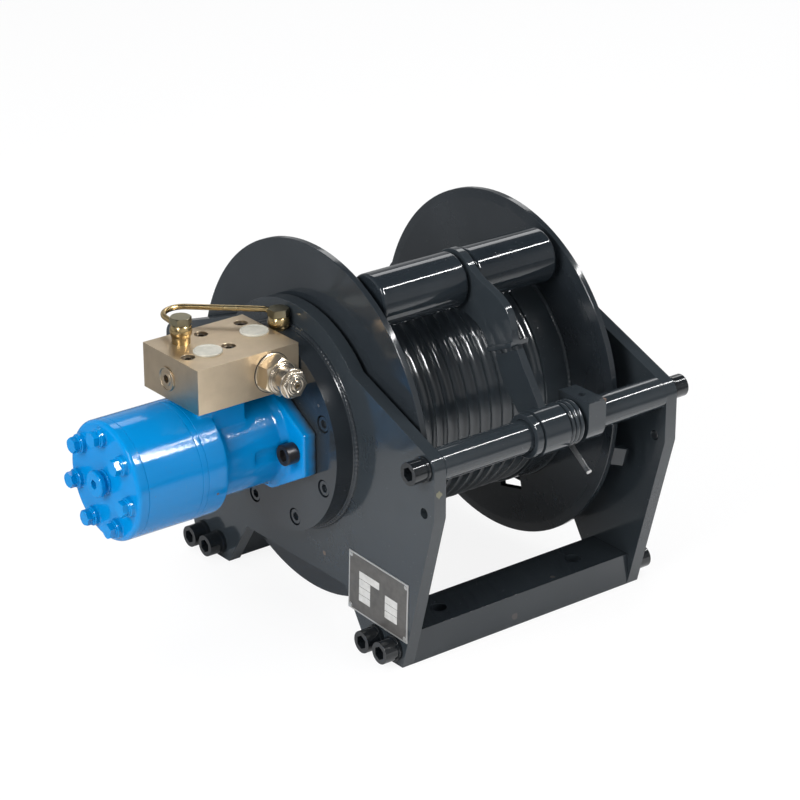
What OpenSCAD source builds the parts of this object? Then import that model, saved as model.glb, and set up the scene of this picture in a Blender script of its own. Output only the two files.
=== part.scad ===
// Hydraulic winch with a sprung rope presser. Millimetres, +Z up.
// +X runs along the drum axis from the motor end to the far end, the front is at -Y.
// The origin is the centre of the base bolt pattern, on the mounting plane.

/* [Frame] */
// inner distance between the two side plates
gap_w = 292; // [280:1:360]
// thickness of each side plate
plate_t = 15; // [10:1:20]
// height of the drum axis above the mounting plane
axis_h = 208; // [205:1:260]
// radius of the plates' round top about the drum axis
crown_r = 134.5; // [120:0.5:160]
// half depth of a plate at its widest place
shoulder_y = 234; // [225:1:260]
// height at which the plate's upright front edge starts
shoulder_low_z = 184; // [150:1:200]
// height at which the sloping top edge meets the crown
slope_top_z = 296; // [285:1:310]
// half depth of a plate at its feet
foot_y = 184; // [175:1:200]
// half distance between the feet at the bottom
foot_in_y = 124; // [100:1:128]
// half width of the arch between the feet
arch_y = 88; // [60:1:100]
// height of the arch between the feet
arch_z = 56; // [44:1:70]
// height of the base beams
beam_h = 36; // [30:1:44]
// depth of the base beams
beam_w = 56; // [48:1:60]
// distance between the base holes along a beam
base_hole_x = 184; // [150:2:240]
// diameter of the base holes
base_hole_d = 17.5; // [13:0.5:18]
// diameter of the spare hole in each shoulder
spare_hole_d = 11; // [6:1:14]

/* [Tie rod and fasteners] */
// diameter of the tie rod
rod_d = 34; // [28:1:38]
// distance of the tie rod in from the plate's front edge
rod_in = 16; // [14:1:20]
// height of the tie rod
rod_z = 235; // [220:1:245]
// diameter of the cap screws that hold the beams and the tie rod
screw_d = 16; // [12:1:18]
// distance between the two screws of one foot
foot_screw_gap = 30; // [28:1:32]
// thickness of a screw's washers together
washer_t = 4; // [2:0.5:6]

/* [Drum] */
// diameter of the drum flanges
flange_d = 385; // [360:1:395]
// thickness of the drum flanges
flange_t = 8.5; // [7:0.5:14]
// width of the shallow bevel on the rope side of a flange's rim
rim_w = 10.5; // [6:0.5:14]
// depth of that bevel at the rim
rim_t = 1.5; // [0.5:0.5:3]
// distance from the left plate to the left flange
flange_gap = 6; // [5:0.5:20]
// distance from the right flange to the right plate
far_gap = 28.5; // [26:0.5:40]
// outer diameter of the grooved barrel
barrel_d = 248; // [220:1:260]
// distance from one groove to the next
groove_pitch = 14.5; // [12:0.5:18]
// width of the smooth band beside the right flange
band_w = 33; // [20:1:50]
// radius of a groove's round bottom
groove_r = 7.6; // [6:0.1:10]
// depth of a groove
groove_depth = 3.4; // [1:0.1:4]
// extra radius of the smooth band beside the right flange
band_rise = 2.5; // [1:0.5:5]
// diameter of the fixed journals that carry the drum
journal_d = 130; // [100:1:150]
// radial running clearance of the journals
journal_gap = 0.05; // [0.02:0.01:0.1]
// wall left between a journal bore and the flange's inner edge
flange_bore_gap = 10; // [8:1:20]
// length of a journal inside the drum
journal_in = 28; // [20:1:40]
// length of the rope slot in the right flange
slot_len = 36; // [24:1:44]
// width of the rope slot in the right flange
slot_w = 16; // [14:1:20]
// angle of the rope slot from the lowest point of the flange
slot_a = 13; // [0:1:30]
// angle of the rope anchor below the level of the drum axis, at the front
anchor_a = 15; // [5:1:30]
// reach of the rope anchor towards the right plate
anchor_reach = 15; // [12:1:20]

/* [Brake housing] */
// diameter of the brake housing
housing_d = 217; // [207:1:230]
// length of the brake housing outside the plate
housing_len = 25; // [20:1:40]
// diameter of the circle of cover screws
cover_pcd = 186; // [176:1:190]
// number of cover screws
cover_n = 8; // [6:1:10]
// diameter of a cover screw's head
cover_screw_d = 16; // [12:1:18]
// leg of the weld that joins the brake housing to the plate
weld_leg = 4; // [3:0.5:6]

/* [Motor] */
// diameter of the motor body
motor_d = 125; // [115:1:135]
// length of the motor's mounting flange
motor_flange_t = 17; // [14:1:22]
// length of the motor's neck
neck_len = 81; // [70:1:100]
// diameter of the neck
neck_d = 100; // [88:1:104]
// length of the housing ring behind the neck
ring_len = 25; // [18:1:32]
// length of the spacer
spacer_len = 7; // [5:1:10]
// length of the gear ring
gear_len = 63.5; // [40:0.5:80]
// length of the end cover
cover_len = 12.5; // [8:0.5:16]
// radius of the end cover's rounded rim
cover_round = 5; // [2:0.5:6]
// diameter of the spigot that centres the motor
pilot_d = 82; // [76:1:90]
// distance from the motor axis to a mounting screw
ear_r = 59; // [54:1:66]
// distance from a mounting screw to the end of its ear
ear_end = 16.5; // [14:0.5:20]
// height of an ear at its end
ear_h = 45; // [36:1:50]
// height of the mounting flange at its middle
ear_root_h = 112; // [108:1:120]
// width of the flange's flat top and bottom, where the ears' slopes start
ear_root_w = 34; // [24:1:44]
// diameter of the motor's mounting screws
motor_screw_d = 14; // [12:1:16]
// width of the pad under the valve block
pad_w = 68; // [60:1:80]
// diameter of the circle of end bolts
end_pcd = 96; // [90:1:100]
// number of end bolts
end_n = 7; // [5:1:7]
// diameter of the bosses under the end bolts' heads
end_boss_d = 20; // [18:1:22]
// height of those bosses
end_boss_h = 6; // [5:0.5:10]
// size of an end bolt's head across its corners
end_head_d = 17; // [15:1:19]
// height of an end bolt's head
end_head_h = 7.5; // [6:0.5:12]
// diameter of the end plug
plug_d = 28; // [22:1:30]
// reach of the end plug
plug_reach = 12.5; // [8:0.5:14]

/* [Valve block] */
// length of the valve block
block_l = 122.5; // [114:0.5:126]
// width of the valve block
block_w = 97; // [90:1:104]
// height of the valve block
block_h = 48; // [44:1:60]
// gap between the valve block and the motor body
block_gap = 2.5; // [1:0.5:8]
// gap between the valve block and the brake housing
block_end_gap = 1.5; // [1:0.5:10]
// distance of the first block screw from the block's free end
screw_in = 13; // [10:1:18]
// distance of the last block screw from the block's other end
screw_far = 15.5; // [11:0.5:19]
// distance between two block screws of a row
screw_pitch = 49; // [44:1:52]
// distance of the front row of block screws in front of the motor axis
screw_front = 13; // [9:1:18]
// distance of the rear row of block screws behind the motor axis
screw_rear = 30; // [26:1:36]
// diameter of the counterbores of the block screws
block_screw_d = 14; // [12:1:15]
// diameter of the port caps
port_cap_d = 30; // [24:1:32]
// distance of the first port from the block's free end
port_in = 37; // [35:1:39]
// distance of the second port from the block's other end
port_far = 18.5; // [16:0.5:20]
// depth of a port
port_depth = 14; // [8:1:18]
// thickness of a port cap's head
cap_t = 2.5; // [1.5:0.5:4]
// size of the relief valve's body across its corners
relief_d = 38; // [30:1:40]
// distance of the relief valve from the block's end beside the drum
relief_in = 33.5; // [26:0.5:50]
// reach of the relief valve in front of the block
relief_reach = 44.5; // [40:0.5:60]
// diameter of the brake pipe
pipe_d = 6; // [5:0.5:8]
// bend radius of the brake pipe
pipe_bend = 20; // [16:0.5:24]
// height of the brake pipe above the valve block
pipe_up = 15.5; // [14:0.5:18]
// bend radius of the pipe where it dips to the brake's fitting
dip_bend = 12; // [8:1:16]
// diameter of the pipe's ring fittings
fitting_d = 23; // [18:1:24]
// height of a fitting's ring
ring_h = 13; // [10:1:14]
// height of the hexagon head of a fitting's screw
fitting_head_h = 8.5; // [6:0.5:10]
// distance of the brake's fitting behind the motor axis
brake_fit_y = 5; // [0:0.5:8]

/* [Far end] */
// thickness of the bearing housing's flange
far_cover_t = 12; // [8:1:16]
// width of that flange round the journal
far_cover_w = 24; // [22:1:30]
// diameter of the screws in that flange
far_screw_d = 11; // [8:1:12]

/* [Rope presser] */
// diameter of the rollers
roller_d = 59; // [50:1:64]
// gap between the left roller's outer end and the drum flange
roller_end_gap = 5.5; // [5:0.5:30]
// gap between the right roller's outer end and the drum flange
roller_far_gap = 10; // [5:0.5:30]
// distance of the rollers in front of the drum axis
roller_y = 82; // [70:1:95]
// height of the rollers above the drum axis
roller_up = 151; // [145:1:160]
// thickness of the arm's head between the rollers
arm_t = 9; // [7:1:12]
// gap between the arm and each roller
roller_gap = 3; // [2:0.5:6]
// diameter of the roller shaft
shaft_d = 20; // [16:1:26]
// radial running clearance of the rollers and of the hinge
pin_gap = 0.05; // [0.02:0.01:0.1]
// diameter of the hinge boss
boss_d = 49; // [45:1:56]
// length of the hinge boss
boss_len = 33; // [28:1:40]
// diameter of the spring's wire
wire_d = 7.6; // [5:0.2:8]
// number of turns of the spring
coil_n = 3; // [3:1:6]
// length of the spring's lower leg
leg_len = 52; // [30:1:60]
// angle of the spring's leg below the horizontal
leg_dip = 35; // [20:1:40]
// gap beside the hinge boss
boss_gap = 1; // [0.5:0.5:3]
// length of the spring collar
collar_len = 23; // [16:1:28]
// wall of the spring collar round the rod
collar_wall = 6.5; // [5:0.5:8]
// height of the collar's flat top above the rod
collar_up = 8.5; // [6:0.5:10]
// thickness of the thrust ring
thrust_t = 9; // [6:1:12]

/* [Nameplate] */
// width of the nameplate
tag_w = 98; // [80:1:100]
// height of the nameplate
tag_h = 67; // [50:1:68]
// tilt of the nameplate
tag_tilt = 2; // [0:0.5:3]

/* [Hidden] */
$fn = 64;
xi = gap_w / 2;
xo = xi + plate_t;
beam_y = foot_y - beam_w / 2;
rod_y = -(shoulder_y - rod_in);
rod_r = rod_d / 2;
tag_t = 1;
tag_y = -foot_y + 39.7;
tag_z = beam_h + 30.4;
corner_r = rod_in;
s_dy = slope_top_z - axis_h;
slope_top_y = sqrt(crown_r * crown_r - s_dy * s_dy);
// drum stations along X
fl0 = -xi + flange_gap;
fl1 = fl0 + flange_t;
fr1 = xi - far_gap;
fr0 = fr1 - flange_t;
drum_w = fr0 - fl1;
groove_n = floor((drum_w - band_w) / groove_pitch);
groove_x0 = (drum_w - band_w - groove_n * groove_pitch) / 2 + groove_pitch / 2;
groove_end = drum_w - band_w;
barrel_r = barrel_d / 2;
journal_r = journal_d / 2;
// drive end stations along X, from the plate outwards
bh0 = -xo - housing_len;
mf0 = bh0 - motor_flange_t;
nk0 = mf0 - neck_len;
rg0 = nk0 - ring_len;
sp0 = rg0 - spacer_len;
gr0 = sp0 - gear_len;
ec0 = gr0 - cover_len;
motor_r = motor_d / 2;
head_r = motor_screw_d * 0.79;
// valve block
bl1 = bh0 - block_end_gap;
bl0 = bl1 - block_l;
bz0 = axis_h + motor_r + block_gap;
bz1 = bz0 + block_h;
// rope presser
roll_z = axis_h + roller_up;
roll_r = roller_d / 2;
arm_x = (fl1 + fr0) / 2 + 0.75;
hx0 = arm_x - arm_t / 2;
hx1 = arm_x + arm_t / 2;
lx1 = hx0 - roller_gap;
rx0 = hx1 + roller_gap;
lx0 = fl1 + roller_end_gap;
rx1 = fr0 - roller_far_gap;
bs0 = arm_x - 13.5;
bs1 = bs0 + boss_len;
coil_r = rod_r + 1 + wire_d / 2;
cp0 = bs1 + boss_gap;
coil_pitch = wire_d * 0.97;
coil_len = (coil_n - 1) * coil_pitch + wire_d;
cl0 = cp0 + coil_len;
cl1 = cl0 + collar_len;

// a cylinder along X from x0 to x1 about the axis (y, z)
module xcyl(x0, x1, r, y = 0, z = axis_h) {
  translate([x0, y, z]) rotate([0, 90, 0]) cylinder(h = x1 - x0, r = r);
}

// a prism along X from a shape drawn in Y and Z
module xprism(x0, x1) {
  translate([x0, 0, 0]) rotate([90, 0, 90]) linear_extrude(height = x1 - x0) children();
}

// a hexagon along X
module xhex(x0, x1, r, y, z) {
  translate([x0, y, z]) rotate([0, 90, 0]) cylinder(h = x1 - x0, r = r, $fn = 6);
}

// a socket cap screw along X, its washers on the plane x and its head on the side of dir
module cap_screw(x, dir, y, z, d, stem) {
  hd = 1.5 * d;
  wt = washer_t;
  difference() {
    union() {
      xcyl(dir > 0 ? x : x - wt, dir > 0 ? x + wt : x, hd / 2 + 1.5, y, z);
      xcyl(dir > 0 ? x + wt : x - wt - d, dir > 0 ? x + wt + d : x - wt, hd / 2, y, z);
      xcyl(dir > 0 ? x - stem : x, dir > 0 ? x : x + stem, d / 2, y, z);
    }
    xhex(dir > 0 ? x + wt + d * 0.45 : x - wt - d - 1, dir > 0 ? x + wt + d + 1 : x - wt - d * 0.45,
      d * 0.47, y, z);
  }
}

module plate_shape() {
  difference() {
    union() {
      translate([0, axis_h]) circle(r = crown_r, $fn = 128);
      polygon([[foot_in_y, 0], [foot_y, 0], [shoulder_y, shoulder_low_z], [shoulder_y, rod_z],
        [-rod_y + corner_r * 0.42, rod_z + corner_r * 0.9], [slope_top_y, slope_top_z],
        [-slope_top_y, slope_top_z], [rod_y - corner_r * 0.42, rod_z + corner_r * 0.9],
        [-shoulder_y, rod_z], [-shoulder_y, shoulder_low_z], [-foot_y, 0], [-foot_in_y, 0],
        [-arch_y, arch_z], [arch_y, arch_z]]);
      for (s = [-1, 1]) translate([s * rod_y, rod_z]) circle(r = corner_r);
    }
    translate([0, axis_h]) circle(r = journal_r, $fn = 96);
    for (s = [-1, 1]) {
      translate([s * rod_y, rod_z]) circle(r = screw_d / 2);
      translate([s * (shoulder_y - rod_in), shoulder_low_z + 3]) circle(r = spare_hole_d / 2);
      for (k = [-1, 1])
        translate([s * (beam_y + k * foot_screw_gap / 2), beam_h / 2]) circle(r = screw_d / 2);
    }
  }
}

module left_side_plate() {
  color([0.10, 0.12, 0.15]) xprism(-xo, -xi) plate_shape();
}

module right_side_plate() {
  color([0.10, 0.12, 0.15]) xprism(xi, xo) plate_shape();
}

module beam(s) {
  color([0.10, 0.12, 0.15]) difference() {
    translate([-xi, s * beam_y - beam_w / 2, 0]) cube([gap_w, beam_w, beam_h]);
    for (k = [-1, 1]) translate([k * base_hole_x / 2, s * beam_y, -1])
      cylinder(h = beam_h + 2, r = base_hole_d / 2);
    for (k = [-1, 1]) for (e = [-1, 1])
      xcyl(e > 0 ? xi - 30 : -xi - 1, e > 0 ? xi + 1 : -xi + 30, screw_d / 2,
        s * beam_y + k * foot_screw_gap / 2, beam_h / 2);
  }
}

module front_beam() { beam(-1); }
module rear_beam() { beam(1); }

module tie_rod() {
  color([0.10, 0.12, 0.15]) difference() {
    xcyl(-xi, xi, rod_r, rod_y, rod_z);
    for (e = [-1, 1]) xcyl(e > 0 ? xi - 30 : -xi - 1, e > 0 ? xi + 1 : -xi + 30, screw_d / 2,
      rod_y, rod_z);
  }
}

module tie_rod_bolts() {
  color([0.08, 0.09, 0.11]) for (e = [-1, 1])
    cap_screw(e * xo, e, rod_y, rod_z, screw_d, plate_t + 25);
}

module foot_bolts(e) {
  color([0.08, 0.09, 0.11]) for (s = [-1, 1]) for (k = [-1, 1])
    cap_screw(e * xo, e, s * beam_y + k * foot_screw_gap / 2, beam_h / 2, screw_d, plate_t + 25);
}

module left_foot_bolts() { foot_bolts(-1); }
module right_foot_bolts() { foot_bolts(1); }

module nameplate() {
  color([0.75, 0.76, 0.78]) translate([-xo - tag_t, tag_y, tag_z]) rotate([tag_tilt, 0, 0]) {
    translate([0, -tag_w / 2, -tag_h / 2]) cube([tag_t, tag_w, tag_h]);
    for (a = [-1, 1]) for (b = [-1, 1]) translate([-0.8, a * (tag_w / 2 - 4), b * (tag_h / 2 - 4)])
      rotate([0, 90, 0]) cylinder(h = 1, r = 1.8);
  }
}

module thrust_ring() {
  color([0.10, 0.12, 0.15]) difference() {
    xcyl(bs0 - boss_gap - thrust_t, bs0 - boss_gap, rod_r + 6, rod_y, rod_z);
    xcyl(bs0 - boss_gap - thrust_t - 1, bs0, rod_r, rod_y, rod_z);
  }
}

module spring_collar() {
  color([0.10, 0.12, 0.15]) difference() {
    union() {
      xcyl(cl0, cl1, rod_r + collar_wall, rod_y, rod_z);
      translate([cl0, rod_y - rod_r - collar_wall, rod_z])
        cube([collar_len, rod_d + 2 * collar_wall, rod_r + collar_up]);
    }
    xcyl(cl0 - 1, cl1 + 1, rod_r, rod_y, rod_z);
    translate([(cl0 + cl1) / 2, rod_y, rod_z]) cylinder(h = rod_d, r = 4);
  }
}

module collar_screw() {
  color([0.05, 0.05, 0.06]) difference() {
    translate([(cl0 + cl1) / 2, rod_y, rod_z + rod_r]) cylinder(h = 3.5, r = 4);
    translate([(cl0 + cl1) / 2, rod_y, rod_z + rod_r + 1]) cylinder(h = 4, r = 2.2, $fn = 6);
  }
}

module presser_spring() {
  color([0.10, 0.11, 0.13]) {
    translate([cp0 + wire_d / 2, rod_y, rod_z]) rotate([0, 90, 0]) rotate_extrude()
      for (i = [0 : coil_n - 1]) translate([coil_r, i * coil_pitch]) circle(r = wire_d / 2, $fn = 24);
    // the last turn's leg runs off straight, forward and down under the rod
    translate([cl0 - wire_d / 2, rod_y, rod_z]) rotate([leg_dip, 0, 0])
      translate([0, 2, -coil_r]) rotate([90, 0, 0]) cylinder(h = leg_len + 2, r = wire_d * 0.38);
  }
}

module brake_housing() {
  color([0.10, 0.12, 0.15]) difference() {
    union() {
      xcyl(bh0, -xo, housing_d / 2);
      xcone(-xo - weld_leg, -xo, housing_d / 2, housing_d / 2 + weld_leg);
      xcyl(-xo - 1, fl1 + journal_in, journal_r);
    }
    xcyl(bh0 - 1, bh0 + 12, pilot_d / 2);
    for (s = [-1, 1]) xcyl(bh0 - 1, bh0 + 12, motor_screw_d / 2, s * ear_r);
    // port and flat seat of the brake's fitting
    translate([bh0 + housing_len / 2, brake_fit_y, brake_top - 12]) cylinder(h = 20, r = 6);
    translate([bh0 + housing_len / 2, brake_fit_y, brake_top]) cylinder(h = 5, r = fitting_d / 2);
    for (i = [0 : cover_n - 1]) rotate_x(180 / cover_n + i * 360 / cover_n)
      xcyl(bh0 - 1, bh0 + 8, cover_screw_d / 2 + 1.5, cover_pcd / 2, axis_h);
  }
}

// turns about the drum axis
module rotate_x(a) {
  translate([0, 0, axis_h]) rotate([a, 0, 0]) translate([0, 0, -axis_h]) children();
}

// a collar or cone along X from x0 to x1, r0 and r1 its radii there
module xcone(x0, x1, r0, r1) {
  translate([x0, 0, axis_h]) rotate([0, 90, 0]) cylinder(h = x1 - x0, r1 = r0, r2 = r1);
}

module cover_screws() {
  color([0.08, 0.09, 0.11]) for (i = [0 : cover_n - 1])
    rotate_x(180 / cover_n + i * 360 / cover_n) difference() {
      xcyl(bh0 + 1, bh0 + 8, cover_screw_d / 2, cover_pcd / 2, axis_h);
      xhex(bh0, bh0 + 5, cover_screw_d * 0.3, cover_pcd / 2, axis_h);
    }
}

module ear_shape() {
  y1 = ear_r + ear_end;
  h1 = ear_h / 2;
  y0 = ear_root_w / 2;
  h0 = ear_root_h / 2;
  difference() {
    polygon([[-y1, -h1], [-y1, h1], [-y0, h0], [y0, h0], [y1, h1], [y1, -h1], [y0, -h0], [-y0, -h0]]);
    for (s = [-1, 1]) translate([s * ear_r, 0]) circle(r = motor_screw_d / 2);
  }
}

module motor_housing() {
  color([0.02, 0.40, 0.80]) {
    xprism(mf0, bh0) translate([0, axis_h]) ear_shape();
    difference() {
      union() {
        xcone(mf0 - 8, mf0, neck_d / 2, neck_d / 2 + 4);
        xcyl(nk0, mf0, neck_d / 2);
        xcone(nk0, nk0 + 8, neck_d / 2 + 5, neck_d / 2);
      }
      // pockets that let the mounting screws' heads in beside the neck
      for (s = [-1, 1]) xcyl(mf0 - neck_len / 2, mf0, head_r + 1.5, s * ear_r);
    }
    xcyl(rg0, nk0, motor_r);
    translate([nk0 - 2, -pad_w / 2, axis_h]) cube([neck_len / 2 + 2, pad_w, motor_r + block_gap]);
    xcyl(bh0, bh0 + 12, pilot_d / 2);
  }
}

module motor_flange_bolts() {
  color([0.05, 0.05, 0.05]) for (s = [-1, 1]) difference() {
    union() {
      xcyl(mf0 - motor_screw_d, mf0, head_r, s * ear_r, axis_h);
      xcyl(mf0, bh0 + 12, motor_screw_d / 2, s * ear_r, axis_h);
    }
    xhex(mf0 - motor_screw_d - 1, mf0 - motor_screw_d / 2, motor_screw_d * 0.49, s * ear_r, axis_h);
  }
}

module motor_spacer() { color([0.02, 0.40, 0.80]) xcyl(sp0, rg0, motor_r); }
module motor_gear_ring() { color([0.02, 0.40, 0.80]) xcyl(gr0, sp0, motor_r); }

module motor_end_cover() {
  color([0.02, 0.40, 0.80]) difference() {
    translate([ec0, 0, axis_h]) rotate([0, 90, 0]) rotate_extrude() {
      square([motor_r - cover_round, cover_len]);
      translate([0, cover_round]) square([motor_r, cover_len - cover_round]);
      translate([motor_r - cover_round, cover_round]) circle(r = cover_round, $fn = 32);
    }
    xcyl(ec0 - 1, ec0 + 6, plug_d / 3);
  }
}

module motor_end_bolts() {
  color([0.02, 0.40, 0.80]) for (i = [0 : end_n - 1]) rotate_x(37 + i * 360 / end_n) {
    xcyl(ec0 - end_boss_h, ec0, end_boss_d / 2, end_pcd / 2, axis_h);
    xhex(ec0 - end_boss_h - end_head_h, ec0 - end_boss_h, end_head_d / 2, end_pcd / 2, axis_h);
  }
}

module motor_plug() {
  color([0.02, 0.40, 0.80]) difference() {
    union() {
      xcyl(ec0, ec0 + 6, plug_d / 3);
      xcyl(ec0 - plug_reach / 2, ec0, plug_d / 2 - 1.5);
      xcyl(ec0 - plug_reach, ec0 - plug_reach / 2, plug_d / 2);
    }
    xhex(ec0 - plug_reach - 1, ec0 - 4, plug_d * 0.19, 0, axis_h);
  }
}

// places of the block's screws, ports and fitting, measured from its free end and the motor axis
screws_xy = [[screw_in, -screw_front], [screw_in + screw_pitch, -screw_front],
  [block_l - screw_far - screw_pitch, screw_rear], [block_l - screw_far, screw_rear]];
ports_xy = [[port_in, -screw_front], [block_l - port_far, 2]];
fit_xy = [port_in - 7, screw_rear - 6];
port_r = port_cap_d / 2 - 4;
side_plug_r = 10;
side_plug_z = bz0 + block_h * 0.46;
relief_z = bz0 + block_h / 2;
relief_x = bl1 - relief_in;
brake_top = axis_h + sqrt(housing_d * housing_d / 4 - brake_fit_y * brake_fit_y);
pipe_z = bz1 + pipe_up;

module valve_block() {
  color([0.62, 0.57, 0.46]) difference() {
    translate([bl0, -block_w / 2, bz0]) cube([block_l, block_w, block_h]);
    for (p = screws_xy) translate([bl0 + p[0], p[1], bz1 - 9]) cylinder(h = 10, r = block_screw_d / 2);
    for (p = ports_xy) translate([bl0 + p[0], p[1], bz1 - port_depth])
      cylinder(h = port_depth + 1, r = port_r);
    xcyl(bl0 - 1, bl0 + 12, side_plug_r, 6, side_plug_z);
    translate([relief_x, -block_w / 2 - 1, relief_z]) rotate([-90, 0, 0])
      cylinder(h = 16, r = relief_d * 0.3);
    translate([bl0 + fit_xy[0], fit_xy[1], bz1 - 10]) cylinder(h = 11, r = fitting_d / 4);
  }
}

module valve_screws() {
  color([0.10, 0.10, 0.11]) for (p = screws_xy) translate([bl0 + p[0], p[1], bz1 - 9])
    difference() {
      cylinder(h = 7, r = block_screw_d / 2 - 1);
      translate([0, 0, 3]) cylinder(h = 5, r = block_screw_d / 4, $fn = 6);
    }
}

module port_caps() {
  color([0.85, 0.85, 0.83]) for (p = ports_xy) translate([bl0 + p[0], p[1], bz1 - port_depth]) {
    cylinder(h = port_depth, r = port_r);
    translate([0, 0, port_depth]) cylinder(h = cap_t, r = port_cap_d / 2);
  }
}

module block_plug() {
  color([0.55, 0.50, 0.40]) difference() {
    union() {
      xcyl(bl0, bl0 + 12, side_plug_r, 6, side_plug_z);
      xcyl(bl0 - 2, bl0, side_plug_r + 3, 6, side_plug_z);
    }
    xhex(bl0 - 3, bl0 + 5, side_plug_r / 2, 6, side_plug_z);
  }
}

// a screw-in relief valve: body hexagon, collar, lock nut and adjusting screw
module valve_cartridge() {
  r = relief_d / 2;
  l = relief_reach;
  color([0.72, 0.68, 0.58])
    translate([relief_x, -block_w / 2, relief_z]) rotate([90, 0, 0]) difference() {
      union() {
        translate([0, 0, -15]) cylinder(h = 15, r = relief_d * 0.3);
        cylinder(h = l * 0.05, r = r * 1.12);
        cylinder(h = l * 0.36, r = r, $fn = 6);
        translate([0, 0, l * 0.36]) cylinder(h = l * 0.15, r = r * 0.76);
        translate([0, 0, l * 0.51]) cylinder(h = l * 0.22, r = r * 0.62);
        translate([0, 0, l * 0.73]) cylinder(h = l * 0.17, r = r * 0.72, $fn = 6);
        translate([0, 0, l * 0.9]) cylinder(h = l * 0.1, r = r * 0.36);
      }
      translate([0, 0, l - 5]) cylinder(h = 6, r = 2.4, $fn = 6);
    }
}

// a ring fitting at (x, y) with its ring's middle at height zr, its screw standing on a face at z
module fitting(x, y, z, zr) {
  rr = fitting_d / 2;
  translate([x, y, z - 8]) cylinder(h = 8, r = fitting_d / 4);
  translate([x, y, z]) cylinder(h = zr - z, r = rr - 1.5);
  translate([x, y, zr]) rotate_extrude() intersection() {
    translate([0, -ring_h / 2]) square([rr + 2, ring_h]);
    circle(r = rr, $fn = 48);
  }
  translate([x, y, zr + ring_h / 2]) cylinder(h = fitting_head_h, r = rr, $fn = 6);
}

block_ring_z = bz1 + ring_h;
brake_ring_z = brake_top + ring_h / 2;

module block_fitting() {
  color([0.75, 0.66, 0.42]) fitting(bl0 + fit_xy[0], fit_xy[1], bz1, block_ring_z);
}

module brake_fitting() {
  color([0.75, 0.70, 0.55]) fitting(bh0 + housing_len / 2, brake_fit_y, brake_top, brake_ring_z);
}

// directions in which the pipe leaves the two fittings, from +X towards +Y
out_a = 84;
back_a = 137.5;
// slope at which the pipe dips into the brake's fitting
dip_a = 55;

// the pipe leaves the block's fitting level, goes round one bend and straight across the block,
// and dips through a second bend into the ring on the brake housing
module brake_pipe() {
  r = pipe_d / 2;
  a = [bl0 + fit_xy[0], fit_xy[1]];
  b = [bh0 + housing_len / 2, brake_fit_y];
  u = [cos(out_a), sin(out_a)];
  v = [cos(back_a), sin(back_a)];
  det = u[1] * v[0] - u[0] * v[1];
  ta = ((b[1] - a[1]) * v[0] - (b[0] - a[0]) * v[1]) / det;
  corner = a + ta * u;
  lb = norm(corner - b);
  cut = pipe_bend / tan((back_a - out_a) / 2);
  c = a + (ta - cut) * u + pipe_bend * [u[1], -u[0]];
  drop = pipe_z - brake_ring_z;
  slope = (drop - dip_bend * (1 - cos(dip_a))) / sin(dip_a);
  adv = dip_bend * sin(dip_a) + slope * cos(dip_a);
  color([0.78, 0.66, 0.36]) {
    translate([a[0], a[1], pipe_z]) rotate([0, 90, out_a]) cylinder(h = ta - cut, r = r);
    translate([c[0], c[1], pipe_z]) rotate([0, 0, back_a - 90])
      rotate_extrude(angle = 180 - (back_a - out_a), $fn = 96)
        translate([pipe_bend, 0]) circle(r = r, $fn = 24);
    translate([b[0], b[1], 0]) rotate([0, 0, back_a]) {
      translate([adv, 0, pipe_z]) rotate([0, 90, 0]) cylinder(h = lb - cut - adv, r = r);
      translate([adv, 0, pipe_z - dip_bend]) rotate([90, 0, 0]) rotate([0, 0, 90])
        rotate_extrude(angle = dip_a, $fn = 96) translate([dip_bend, 0]) circle(r = r, $fn = 24);
      translate([0, 0, brake_ring_z]) rotate([0, 90 - dip_a, 0]) cylinder(h = slope, r = r);
    }
  }
}

module bearing_housing() {
  color([0.10, 0.12, 0.15]) difference() {
    union() {
      xcyl(xo, xo + far_cover_t, journal_r + far_cover_w);
      xcyl(fr0 - journal_in, xo + 1, journal_r);
    }
    for (i = [0 : 5]) rotate_x(i * 60) xcyl(xo - 1, xo + far_cover_t + 1, far_screw_d / 2,
      journal_r + far_cover_w / 2, axis_h);
  }
}

module bearing_screws() {
  far_face = xo + far_cover_t;
  color([0.08, 0.09, 0.11]) for (i = [0 : 5]) rotate_x(i * 60) difference() {
    union() {
      xcyl(far_face, far_face + far_screw_d, far_screw_d * 0.73, journal_r + far_cover_w / 2, axis_h);
      xcyl(xo, far_face, far_screw_d / 2, journal_r + far_cover_w / 2, axis_h);
    }
    xhex(far_face + far_screw_d / 2, far_face + far_screw_d + 1, far_screw_d * 0.42,
      journal_r + far_cover_w / 2, axis_h);
  }
}

module drum_barrel() {
  color([0.10, 0.12, 0.15]) difference() {
    translate([fl1, 0, axis_h]) rotate([0, 90, 0]) rotate_extrude($fn = 128) difference() {
      union() {
        square([barrel_r, drum_w]);
        translate([0, groove_end]) square([barrel_r + band_rise, drum_w - groove_end]);
      }
      for (i = [0 : groove_n - 1]) translate([barrel_r + groove_r - groove_depth,
        groove_x0 + i * groove_pitch]) circle(r = groove_r, $fn = 48);
    }
    xcyl(fl1 - 1, fl1 + journal_in + 6, journal_r + journal_gap);
    xcyl(fr0 - journal_in - 6, fr0 + 1, journal_r + journal_gap);
  }
}

// a drum flange from x0 on, its rope side towards +X, with the shallow bevel round its rim
module flange_ring(x0) {
  rf = flange_d / 2;
  translate([x0, 0, axis_h]) rotate([0, 90, 0]) rotate_extrude($fn = 128)
    polygon([[journal_r + flange_bore_gap, 0], [rf, 0], [rf, flange_t - rim_t], [rf - rim_w, flange_t],
      [journal_r + flange_bore_gap, flange_t]]);
}

module left_flange() { color([0.10, 0.12, 0.15]) flange_ring(fl0); }

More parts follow.
